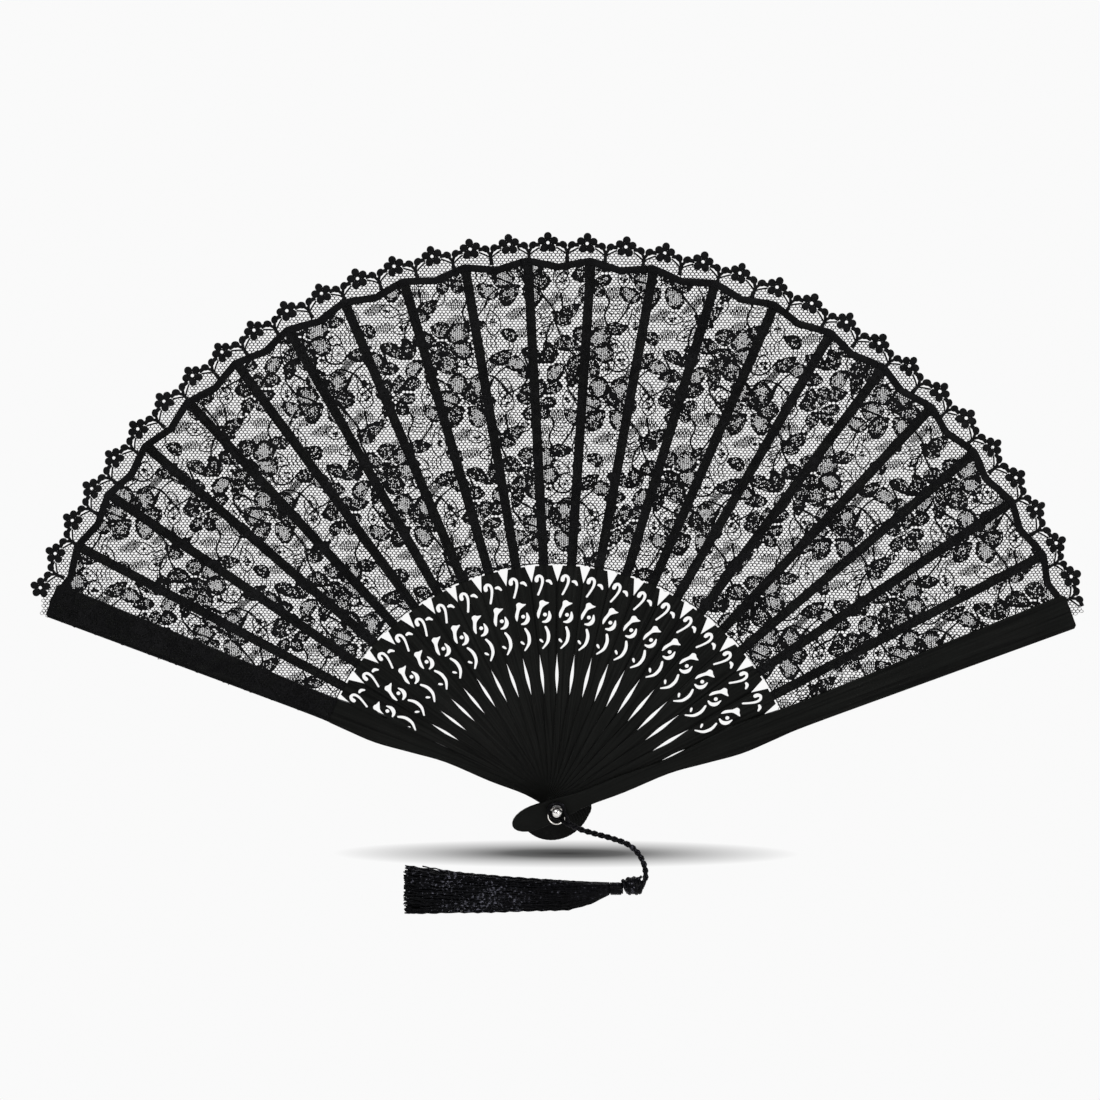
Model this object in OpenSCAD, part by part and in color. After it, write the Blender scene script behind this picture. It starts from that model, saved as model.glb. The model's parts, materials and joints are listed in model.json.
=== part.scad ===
// Folding hand fan, shown open: two guards, pierced sticks, a pleated lace leaf,
// a ball-headed pivot pin, a wire ring, and a cord with a tassel.
//
// The blades fan out in the XZ plane about the pin, which lies on the Y axis.
// Angles are measured from +Z towards +X. The front of the fan faces -Y, and the
// back guard's outer face lies on the plane Y = 0.

/* [Fan] */
// Number of pierced sticks between the two guards
stick_count = 20; // [18:1:22]
// Angle between the two guards when the fan is open, in degrees
open_angle = 136.5; // [126:0.1:142]
// Radius from the pin to the tips of the sticks and guards
tip_r = 214; // [190:1:240]
// Radius at which the brins end and the leaf begins
brin_r = 95; // [94:0.5:97]

/* [Blades] */
// Thickness of a guard
guard_t = 2; // [1.6:0.1:3]
// Thickness of a stick's pierced lower part, the brin
brin_t = 0.7; // [0.5:0.05:0.75]
// Thickness of a stick's upper part, the slip, which the leaf is glued to
slip_t = 0.3; // [0.2:0.05:0.35]
// Width of a slip
slip_w = 3.7; // [2.4:0.1:4]
// Depth from one stick's mid-plane to the next
stick_pitch = 0.8; // [0.8:0.05:1]
// Depth of the relief on a guard's inner face, which makes room for the folded leaf
guard_relief = 0.4; // [0.2:0.1:0.6]
// Length of the front guard's tail below the pin
front_tail = 18.5; // [14:0.5:22]
// Length of the back guard's tail below the pin
back_tail = 15; // [12:0.5:20]

/* [Leaf] */
// Thickness of the leaf's stand-in plate
leaf_t = 0.25; // [0.15:0.05:0.3]
// Height of the flower trim beyond the blade tips
trim_h = 10; // [6:0.5:12]
// Angle from one trim flower to the next, in degrees
flower_step = 3.83; // [3.5:0.01:4.5]

/* [Pin and ring] */
// Radius of the pin's shank
pin_r = 1.2; // [1:0.05:1.4]
// Radial clearance of the shank in every blade
pin_gap = 0.05; // [0.03:0.01:0.08]
// Radius of the ball on the pin's front end
ball_r = 1.95; // [1.7:0.05:2.3]
// Radius of the thin neck behind the ball
neck_r = 0.6; // [0.5:0.05:0.8]
// Radius of the ring, to the middle of its wire
ring_r = 3.25; // [3:0.05:4]
// Radius of the ring's wire
wire_r = 0.32; // [0.2:0.02:0.34]

/* [Cord and tassel] */
// Radius of the doubled cord
cord_r = 1.2; // [1:0.1:1.4]
// Radius of one strand of the cord
strand_r = 0.6; // [0.4:0.05:0.65]
// Length of the tassel's skirt
skirt_l = 81; // [60:1:95]

/* [Hidden] */
$fn = 48;
last_blade = stick_count + 1;
step = open_angle / last_blade;
blade_gap = stick_pitch - brin_t;
bore_r = pin_r + pin_gap;
// Depth of the front guard's outer face.
front_y = -(2 * guard_t + blade_gap + stick_count * stick_pitch);

// Radius below the pin where every tail starts to close, and a stick's length beyond it.
tail_start = 9;
tail_l = 5.8;
// [radius, half width] of a stick's brin, from above the tail to the widest point.
BRIN = [
    [-tail_start, 4], [0, 3.4], [10, 2.65], [22, 2.6], [35, 2.7], [44, 2.5],
    [51.5, 2.3], [59, 3.3], [66, 3.87], [76, 4.42], [88.5, 5.05]
];
// [radius, half width] of a guard, from above the pin to the start of its straight taper.
GUARD = [
    [12, 3.2], [27, 3.4], [46, 2.8], [60, 4.2], [75, 5.8], [88, 5.4], [98, 4.9], [112, 5]
];
guard_tip_w = 7;
shoulder_w = 3.35;
front_tail_w = 4.8;
back_tail_w = 5.6;

// The pin's riveted end, sunk in the back guard.
rivet_depth = 0.85;
rivet_seat_r = 3;
rivet_head_r = 2.1;
rivet_head_t = 0.45;
washer_t = 0.36;
fit_gap = 0.02;
// Depths of what hangs on the pin's neck, from the front guard forward.
neck_y = front_y;
ring_y = neck_y - fit_gap - washer_t - wire_r - 0.08;
loop_y = ring_y - wire_r - strand_r - 0.15;
ball_y = loop_y - strand_r - ball_r - 0.05;

// The cord loops once round the neck, runs down to the right and bends back to the tassel.
loop_r = 3;
cord_y = loop_y - 1.35;
bend_r = 14.5;
bend_x = 20.5;
bend_z = -25.5;
bend_start = 73;
bend_end = -5;

// The tassel lies along X with its head under the cord's end.
tassel_y = cord_y - 1.1;
head_x = 30.2;
head_z = -29.3;
head_l = 8.6;
head_r = 3.8;
neck_x = 25.6;
neck_l = 4.6;
neck_z = -30.5;
binding_r = 2.5;

// Names run stick_01, stick_02 and so on.
function node_name(base, k) = str(base, "_", k < 10 ? "0" : "", k);

function blade_angle(k) = k * step - open_angle / 2;

// Depth of blade k's mid-plane; k = 0 gives the first stick's place, one pitch back.
function stick_y(k) = -(guard_t + blade_gap + brin_t / 2) - (k - 1) * stick_pitch;

// One point of a Catmull-Rom curve between b and c.
function curve_point(a, b, c, d, t) =
    (2 * b + (c - a) * t + (2 * a - 5 * b + 4 * c - d) * t ^ 2
    + (3 * b - a - 3 * c + d) * t ^ 3) / 2;

// Smooth open curve through the points p, with n steps a span.
function open_curve(p, n) = let (m = len(p) - 1) concat(
    [for (i = [0 : m - 1], j = [0 : n - 1])
        curve_point(p[max(i - 1, 0)], p[i], p[i + 1], p[min(i + 2, m)], j / n)],
    [p[m]]
);

// Smooth closed curve through the points p, with n steps a span.
function closed_curve(p, n) = let (m = len(p)) [
    for (i = [0 : m - 1], j = [0 : n - 1])
        curve_point(p[(i + m - 1) % m], p[i], p[(i + 1) % m], p[(i + 2) % m], j / n)
];

function reversed(p) = [for (i = [len(p) - 1 : -1 : 0]) p[i]];

// Both sides of a blade from its [radius, half width] pairs.
function blade_sides(side, foot) = concat(
    [for (s = side) [s[1], s[0]]],
    [for (s = reversed(side)) [-s[1], s[0]]],
    foot
);

// Half ellipse that closes a tail: w half wide at radius r, ending l below it.
function tail_arc(w, r, l) = [
    for (a = [15 : 15 : 165]) [-w * cos(a), r - l * sin(a)]
];

// A plate drawn in the blade plane, t thick, centred on depth y.
module plate(y, t) {
    translate([0, y + t / 2, 0])
        rotate([90, 0, 0])
            linear_extrude(t)
                children();
}

// A cylinder along the pin's axis from depth y0 forward to depth y1.
module pin_cylinder(y0, y1, r) {
    translate([0, y0, 0])
        rotate([90, 0, 0])
            cylinder(h = y0 - y1, r = r);
}

// A brush stroke along [across, radius, width] points, with rounded ends.
module stroke(points) {
    p = open_curve(points, 4);
    m = len(p) - 1;
    along = [for (i = [0 : m])
        let (d = p[min(i + 1, m)] - p[max(i - 1, 0)]) [d[0], d[1]] / norm([d[0], d[1]])];
    function edge(i, turn) = [p[i][0], p[i][1]] + p[i][2] / 2
        * [along[i][0] * cos(turn) - along[i][1] * sin(turn),
           along[i][0] * sin(turn) + along[i][1] * cos(turn)];
    polygon(concat(
        [for (i = [0 : m]) edge(i, -90)],
        [for (turn = [-45, 0, 45]) edge(m, turn)],
        [for (i = [m : -1 : 0]) edge(i, 90)],
        [for (turn = [135, 180, 225]) edge(0, turn)]
    ));
}

// The cut-outs of one brin, as [across, radius] shapes.
module piercings() {
    // hook
    stroke([[-3.1, 89.3, 1.6], [-2.9, 90.4, 1.5], [-2, 91.1, 1.15], [-0.95, 90.3, 1.15],
            [-0.85, 88.5, 1.05], [-1.6, 86.2, 0.9], [-2.75, 83.7, 0.85]]);
    // comma beside the hook
    stroke([[0.95, 88.95, 1], [1.9, 88.8, 1.3], [2.65, 87.7, 0.8]]);
    // bird
    polygon(closed_curve([
        [-1.2, 81.5], [0, 80.8], [1.4, 80.3], [-1.05, 78.75], [-2, 77.1],
        [-3.1, 74.2], [-3.65, 76.2], [-2.55, 79.1], [-2.4, 80.9]], 3));
    // dot, with a curl round it
    translate([-0.5, 75.7])
        circle(r = 0.78);
    stroke([[1.15, 76.85, 0.6], [1.3, 75.1, 1.35], [0.8, 73.8, 1.6],
            [-0.2, 73, 1.3], [-1.5, 72.85, 0.7]]);
    // crescent, with a dash on its inner side
    stroke([[-0.5, 70.8, 0.9], [0.25, 69, 1.2], [0.45, 67.1, 1.3],
            [-0.1, 64.7, 1.15], [-2, 62.35, 0.65]]);
    stroke([[-2.8, 65.8, 0.9], [-2.4, 65.35, 1], [-2, 64.9, 0.7]]);
}

module brin_outline() {
    side = open_curve(BRIN, 4);
    polygon(blade_sides(
        concat(side, [[brin_r, shoulder_w]]),
        tail_arc(side[0][1], side[0][0], tail_l)));
}

module slip_outline() {
    corner = slip_w / 5;
    start = brin_r - 2;
    polygon([
        [-slip_w / 2, start], [slip_w / 2, start],
        [slip_w / 2, tip_r - corner], [slip_w / 2 - corner, tip_r],
        [corner - slip_w / 2, tip_r], [-slip_w / 2, tip_r - corner]
    ]);
}

// Pierced stick k, counted from 1 beside the back guard.
module stick(k) {
    y = stick_y(k);
    color([0.1, 0.1, 0.11])
        rotate([0, blade_angle(k), 0])
            difference() {
                union() {
                    plate(y, brin_t)
                        brin_outline();
                    plate(y, slip_t)
                        slip_outline();
                }
                plate(y, 2 * brin_t)
                    piercings();
                pin_cylinder(y + brin_t, y - brin_t, bore_r);
            }
}

// A guard's outline, with a tail of the given length and half width.
module guard_outline(tail, tail_w) {
    side = open_curve(concat([[-tail_start, tail_w], [0, 0.9 * tail_w]], GUARD), 4);
    corner = 1;
    tip = [[tip_r - corner, guard_tip_w], [tip_r, guard_tip_w - corner]];
    polygon(blade_sides(
        concat(side, tip),
        tail_arc(tail_w, -tail_start, tail - tail_start)));
}

// Guard k with its mid-plane at depth y, relieved on its inner face at depth relief_y.
module guard(k, tail, tail_w, y, relief_y) {
    relief_l = tip_r - brin_r + 2;
    rotate([0, blade_angle(k), 0])
        difference() {
            plate(y, guard_t)
                guard_outline(tail, tail_w);
            translate([-10, relief_y - guard_relief, brin_r])
                cube([20, 2 * guard_relief, relief_l]);
            pin_cylinder(y + guard_t, y - guard_t, bore_r);
        }
}

// Bottom blade, with a counterbore on its back for the pin's riveted end.
module back_guard() {
    color([0.09, 0.09, 0.1])
        difference() {
            guard(0, back_tail, back_tail_w, -guard_t / 2, -guard_t);
            pin_cylinder(1, -rivet_depth, rivet_seat_r);
        }
}

module front_guard() {
    color([0.09, 0.09, 0.1])
        guard(last_blade, front_tail, front_tail_w, front_y + guard_t / 2, front_y + guard_t);
}

// Outer edge of the leaf: one scallop for each flower of the trim.
function trim_edge(a) = tip_r + trim_h * (0.6 + 0.4 * cos(360 * a / flower_step));

// Leaf span k, which hangs on blade k - 1 and reaches to blade k.
module leaf(k) {
    steps = 8;
    inner = brin_r + 0.5;
    angles = [for (i = [0 : steps]) blade_angle(k - 1) + step * i / steps];
    color([0.25, 0.25, 0.27])
        plate(stick_y(k - 1) - stick_pitch / 2, leaf_t)
            polygon(concat(
                [for (a = angles) trim_edge(a) * [sin(a), cos(a)]],
                [for (a = reversed(angles)) inner * [sin(a), cos(a)]]));
}

// The rivet, from its flush back end to the ball.
module pivot_pin() {
    color([0.85, 0.85, 0.87]) {
        pin_cylinder(0, -rivet_head_t, rivet_head_r);
        pin_cylinder(-rivet_head_t / 2, neck_y, pin_r);
        pin_cylinder(neck_y + 1, ball_y, neck_r);
        translate([0, ball_y, 0])
            sphere(r = ball_r);
    }
}

module washer(y, r, hole_r) {
    difference() {
        pin_cylinder(y, y - washer_t, r);
        pin_cylinder(y + 1, y - washer_t - 1, hole_r);
    }
}

// Washer between the front guard and the ring, on the neck.
module front_washer() {
    color([0.6, 0.6, 0.62])
        washer(neck_y - fit_gap, ball_r, neck_r + pin_gap);
}

// Washer at the bottom of the back guard's counterbore.
module back_washer() {
    color([0.6, 0.6, 0.62])
        washer(-rivet_head_t - fit_gap, rivet_seat_r - 0.15, bore_r);
}

// Ring of wire hanging on the neck.
module cord_ring() {
    drop = ring_r - wire_r - neck_r - pin_gap;
    color([0.8, 0.78, 0.74])
        translate([0, ring_y, -drop])
            rotate([90, 0, 0])
                rotate_extrude()
                    translate([ring_r, 0])
                        circle(r = wire_r);
}

// Path of the cord as [x, y, z, radius] points.
function cord_path() = concat(
    [for (a = [-75 : -15 : -375])
        [loop_r * cos(a), loop_y, loop_r * sin(a), strand_r]],
    [[3.1, loop_y - 0.3, -3.2, 0.8 * cord_r], [5, cord_y, -5.3, cord_r],
     [14, cord_y, -8.4, cord_r]],
    [for (a = [bend_start : -6.5 : bend_end])
        [bend_x + bend_r * cos(a), cord_y, bend_z + bend_r * sin(a), cord_r]]
);

// A tube along [x, y, z, radius] points, for a path that stays near one XZ plane.
module tube(path, sides) {
    m = len(path) - 1;
    points = [
        for (i = [0 : m])
            let (d = path[min(i + 1, m)] - path[max(i - 1, 0)])
            let (across = [d[2], 0, -d[0]] / norm([d[0], d[2]]))
            for (s = [0 : sides - 1])
                [path[i][0], path[i][1], path[i][2]]
                + path[i][3] * (cos(360 * s / sides) * across + [0, sin(360 * s / sides), 0])
    ];
    polyhedron(points, concat(
        [[for (s = [0 : sides - 1]) s]],
        [for (i = [0 : m - 1], s = [0 : sides - 1])
            let (next = (s + 1) % sides)
            [i * sides + s, (i + 1) * sides + s, (i + 1) * sides + next, i * sides + next]],
        [[for (s = [sides - 1 : -1 : 0]) m * sides + s]]
    ));
}

module cord() {
    color([0.08, 0.08, 0.09])
        tube(open_curve(cord_path(), 2), 10);
}

// Body of revolution along X, from [distance, radius] pairs.
module along_x(x, z, profile) {
    translate([x, tassel_y, z])
        rotate([0, 90, 0])
            rotate_extrude()
                polygon([for (p = profile) [p[1], p[0]]]);
}

module tassel_head() {
    half = head_l / 2;
    color([0.08, 0.08, 0.09])
        along_x(head_x, head_z, concat(
            [[-half, 0], [-half, 0.55 * head_r]],
            [for (a = [-50 : 12.5 : 50]) [half * sin(a) * 1.15, head_r * cos(a)]],
            [[half, 0.5 * head_r], [half, 0]]));
}

// Thread wound round the neck, with a groove for each turn.
module tassel_binding() {
    turns = 6;
    groove = 0.12;
    color([0.1, 0.1, 0.11])
        along_x(neck_x - neck_l, neck_z, concat(
            [[0, 0]],
            [for (i = [0 : 2 * turns])
                [neck_l * i / (2 * turns), binding_r - (i % 2 == 0 ? groove : 0)]],
            [[neck_l, 0]]));
}

// One elliptical slice of the skirt at distance x from the neck.
module skirt_slice(x, z, half_h, half_d) {
    translate([neck_x - neck_l - 0.2 - x, tassel_y, z])
        rotate([0, -90, 0])
            scale([half_h, half_d, 1])
                cylinder(h = 0.3, r = 1, $fn = 32);
}

module tassel_skirt() {
    spread = skirt_l / 81;
    color([0.07, 0.07, 0.08])
        hull() {
            skirt_slice(0, neck_z, 2.4, 2.3);
            skirt_slice(7 * spread, -32.4, 4.6, 3);
            skirt_slice(16 * spread, -33.4, 6.1, 3.3);
            skirt_slice(skirt_l - 18, -32, 8.8, 3.5);
            skirt_slice(skirt_l, -30.9, 10.1, 3.2);
        }
}

back_guard();
for (k = [1 : stick_count])
    stick(k);
front_guard();
for (k = [1 : stick_count + 1])
    leaf(k);
pivot_pin();
front_washer();
back_washer();
cord_ring();
cord();
tassel_head();
tassel_binding();
tassel_skirt();
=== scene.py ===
"""Looks of a folding lace hand fan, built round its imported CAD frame.

Lengths are in millimetres until a mesh is made, and angles are in radians, measured from +Z
towards +X. Blade 0 is the back guard, blades 1 to STICKS are the sticks, and the last blade is
the front guard. Leaf span k lies between blades k - 1 and k.
"""

import json
import math

import bpy
import numpy as np
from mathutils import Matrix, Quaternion, Vector

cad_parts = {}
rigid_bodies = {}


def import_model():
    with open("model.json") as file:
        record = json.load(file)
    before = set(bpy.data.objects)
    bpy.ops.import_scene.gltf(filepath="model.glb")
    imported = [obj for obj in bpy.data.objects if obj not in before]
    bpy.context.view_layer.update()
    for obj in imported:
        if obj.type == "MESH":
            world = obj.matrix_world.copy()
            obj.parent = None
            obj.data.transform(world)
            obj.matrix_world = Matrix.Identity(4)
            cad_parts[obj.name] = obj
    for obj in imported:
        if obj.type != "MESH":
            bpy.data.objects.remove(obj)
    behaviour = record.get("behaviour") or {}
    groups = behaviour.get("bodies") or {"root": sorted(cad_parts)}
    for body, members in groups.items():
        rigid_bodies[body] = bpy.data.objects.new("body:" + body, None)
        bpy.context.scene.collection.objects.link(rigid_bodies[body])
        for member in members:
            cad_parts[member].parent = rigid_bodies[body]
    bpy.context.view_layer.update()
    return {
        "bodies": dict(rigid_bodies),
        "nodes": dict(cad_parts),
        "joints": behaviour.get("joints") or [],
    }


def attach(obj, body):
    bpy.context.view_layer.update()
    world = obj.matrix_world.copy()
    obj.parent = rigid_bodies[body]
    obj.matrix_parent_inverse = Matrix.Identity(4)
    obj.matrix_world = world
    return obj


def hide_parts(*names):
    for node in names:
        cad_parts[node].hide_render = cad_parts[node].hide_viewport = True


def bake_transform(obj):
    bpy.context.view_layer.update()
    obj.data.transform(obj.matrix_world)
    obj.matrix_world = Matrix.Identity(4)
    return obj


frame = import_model()

MM = 0.001
RANDOM = np.random.default_rng(7)


# ---------------------------------------------------------------- the frame's dimensions


def node_points(node):
    """A CAD node's points, in millimetres."""
    mesh = frame["nodes"][node].data
    flat = np.empty(len(mesh.vertices) * 3, np.float32)
    mesh.vertices.foreach_get("co", flat)
    return flat.reshape(-1, 3).astype(float) / MM


def node_box(node):
    points = node_points(node)
    return points.min(0), points.max(0)


def numbered(base, k):
    return f"{base}_{k:02d}"


STICKS = sum(name.startswith("stick_") for name in frame["bodies"])
SPANS = STICKS + 1
STEP = math.radians(
    next(j["range_deg"][1] for j in frame["joints"] if j["name"] == numbered("fold", 1))
)
BLADES = ["back_guard"] + [numbered("stick", k) for k in range(1, SPANS)] + ["front_guard"]

middle_stick = node_points(numbered("stick", STICKS // 2))
TIP_R = float(np.hypot(middle_stick[:, 0], middle_stick[:, 2]).max())
leaf_points = node_points(numbered("leaf", SPANS // 2))
LEAF_R = float(np.hypot(leaf_points[:, 0], leaf_points[:, 2]).min())
TRIM_R = float(np.hypot(leaf_points[:, 0], leaf_points[:, 2]).max())
SLIP_W = 3.7
SLIP_T = 0.3
GUARD_RELIEF = 0.4


def blade_angle(k):
    return (k - SPANS / 2) * STEP


# ---------------------------------------------------------------- meshes and tubes


class Builder:
    """Gathers points and faces of one piece."""

    def __init__(self):
        self.points = []
        self.faces = []
        self.count = 0

    def add(self, points, *faces):
        """Adds points (n, 3) and face arrays whose indices count from these points."""
        self.points.append(np.array(points, float))
        for face in faces:
            if len(face):
                self.faces.append(np.asarray(face, int) + self.count)
        self.count += len(points)

    def make(self, name, material, body=None, slot=None):
        points = np.concatenate(self.points) * MM
        loops = np.concatenate([f.ravel() for f in self.faces])
        sizes = np.concatenate([np.full(len(f), f.shape[1]) for f in self.faces])
        mesh = bpy.data.meshes.new(name)
        mesh.vertices.add(len(points))
        mesh.vertices.foreach_set("co", points.astype(np.float32).ravel())
        mesh.loops.add(len(loops))
        mesh.loops.foreach_set("vertex_index", loops.astype(np.int32))
        mesh.polygons.add(len(sizes))
        starts = np.concatenate([[0], np.cumsum(sizes)[:-1]])
        mesh.polygons.foreach_set("loop_start", starts.astype(np.int32))
        mesh.update(calc_edges=True)
        mesh.validate()
        mesh.polygons.foreach_set("use_smooth", [True] * len(mesh.polygons))
        mesh.materials.append(material)
        piece = bpy.data.objects.new(name, mesh)
        bpy.context.scene.collection.objects.link(piece)
        if body:
            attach(piece, body)
        return piece


def curve_through(points, gap):
    """A Catmull-Rom curve through points (n, d), sampled about every gap millimetres."""
    p = np.asarray(points, float)
    padded = np.concatenate([[2 * p[0] - p[1]], p, [2 * p[-1] - p[-2]]])
    out = []
    for a, b, c, d in zip(padded, padded[1:], padded[2:], padded[3:]):
        steps = max(1, round(np.linalg.norm(c - b) / gap))
        t = (np.arange(steps) / steps)[:, None]
        out.append(
            0.5 * (2 * b + (c - a) * t + (2 * a - 5 * b + 4 * c - d) * t**2
                   + (3 * b - a - 3 * c + d) * t**3)
        )
    return np.concatenate(out + [p[-1:]])


def ring_faces(rings, sides, closed=False):
    """Quads of a grid of rings, and the two end caps of an open one."""
    ring = np.arange(rings if closed else rings - 1)[:, None]
    side = np.arange(sides)[None, :]
    after = (side + 1) % sides
    following = (ring + 1) % rings
    quads = np.stack(
        [ring * sides + side, ring * sides + after, following * sides + after,
         following * sides + side], -1
    ).reshape(-1, 4)
    if closed:
        return (quads,)
    caps = np.array([np.arange(sides)[::-1], np.arange(sides) + (rings - 1) * sides])
    return quads, caps


def frames_along(path):
    """Two unit vectors across a path at each of its points."""
    along = np.gradient(path, axis=0)
    along /= np.linalg.norm(along, axis=1)[:, None] + 1e-12
    across = np.cross(along, [0, 1.0, 0])
    size = np.linalg.norm(across, axis=1)[:, None]
    across = np.where(size > 0.05, across / np.maximum(size, 1e-9), [[1.0, 0, 0]])
    up = np.cross(across, along)
    return across, up / (np.linalg.norm(up, axis=1)[:, None] + 1e-12)


def add_yarn(builder, path, radius, plies, lay, depth, sides):
    """A twisted yarn along a path: plies bulge round it and turn once in lay millimetres."""
    across, up = frames_along(path)
    run = np.concatenate([[0], np.cumsum(np.linalg.norm(np.diff(path, axis=0), axis=1))])
    round_it = np.arange(sides) * 2 * np.pi / sides
    turn = plies * (round_it[None, :] - 2 * np.pi * run[:, None] / lay)
    reach = (radius * (1 - depth + depth * np.abs(np.cos(turn / 2))))[:, :, None]
    points = (
        path[:, None, :]
        + reach * np.cos(round_it)[None, :, None] * across[:, None, :]
        + reach * np.sin(round_it)[None, :, None] * up[:, None, :]
    )
    builder.add(points.reshape(-1, 3), *ring_faces(len(path), sides))


# ---------------------------------------------------------------- the pleats

THREAD_R = 0.11  # half thickness of the lace net
SHEET_GAP = 0.25  # depth between the two panels of a folded pleat
FOLD_MARGIN = 0.2  # from a slip's left edge to the mountain fold
PLEAT_DEPTH = 3.2  # depth of the deepest pleats at the blade tips
PLEAT_GROWTH = 0.33  # how much deeper each pleat may be than the one behind it


def face_depth(k):
    """Depth of the leaf's mid-plane where it lies on blade k."""
    if k == 0:
        return node_box("back_guard")[0][1] + GUARD_RELIEF - THREAD_R - 0.02
    if k == SPANS:
        return node_box("front_guard")[1][1] - GUARD_RELIEF + THREAD_R + 0.08
    low, high = node_box(BLADES[k])
    return (low[1] + high[1]) / 2 - SLIP_T / 2 - THREAD_R


FACE_DEPTH = [face_depth(k) for k in range(SPANS + 1)]


def share(x, z):
    """How many spans a point lies past the first mountain fold."""
    r = np.hypot(x, z)
    angle = np.arctan2(x, z) + (SLIP_W / 2 + FOLD_MARGIN) / r
    return (angle - blade_angle(0)) / STEP


def pleat(k, x, z):
    """Depth of span k's leaf at (x, z), and its blend weight between blades k - 1 and k."""
    r = np.hypot(x, z)
    t = share(x, z) - (k - 1)
    flat = np.minimum((SLIP_W + 2 * FOLD_MARGIN) / (r * STEP), 0.4)
    slope = np.clip((np.minimum(t, 1 - t) - flat) / (0.5 - flat), 0, 1)
    depth = min(PLEAT_DEPTH, PLEAT_GROWTH * (k - 1))
    y = FACE_DEPTH[k - 1] + depth * slope * (r / TIP_R)
    y -= SHEET_GAP * np.clip((t - 0.5) / 0.05, 0, 1)
    wrap = 0.6 / (r * STEP)
    y += (FACE_DEPTH[k] - y) * np.clip((t - 1 + wrap) / wrap, 0, 1)
    return y, np.clip(2 * t - 1, 0, 1)


def span_of(x, z):
    """The span that each point belongs to."""
    return np.clip(np.floor(share(x, z)).astype(int) + 1, 1, SPANS)


def drape(builder, k, name, material):
    """Makes span k's piece from points whose y is a height over the leaf."""
    for points in builder.points:
        points[:, 1] += pleat(k, points[:, 0], points[:, 2])[0]
    piece = builder.make(name, material, slot="lace")
    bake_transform(piece)
    every = np.concatenate(builder.points)
    weight = pleat(k, every[:, 0], every[:, 2])[1]
    return piece


def add_cord(builders, path, radius, lift, sides=6, flat=0.6):
    """A thread along (x, z) points, cut where it crosses from span to span."""
    path = np.asarray(path, float)
    middle = (path[:-1] + path[1:]) / 2
    spans = span_of(middle[:, 0], middle[:, 1])
    along = np.gradient(path, axis=0)
    along /= np.linalg.norm(along, axis=1)[:, None] + 1e-12
    across = np.stack([along[:, 1], -along[:, 0]], 1)
    radius = np.broadcast_to(radius, len(path))
    round_it = np.arange(sides) * 2 * np.pi / sides
    inside = across[:, None, :] * (radius[:, None] * np.cos(round_it))[:, :, None]
    flat_points = path[:, None, :] + inside
    height = -lift + flat * radius[:, None] * np.sin(round_it)[None, :]
    rings = np.stack([flat_points[:, :, 0], height, flat_points[:, :, 1]], -1)
    cuts = np.concatenate([[0], np.nonzero(np.diff(spans))[0] + 1, [len(spans)]])
    for first, last in zip(cuts, cuts[1:]):
        part = rings[first : last + 1]
        builders[spans[first]].add(part.reshape(-1, 3), *ring_faces(len(part), sides))


# ---------------------------------------------------------------- the lace's motifs

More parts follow.
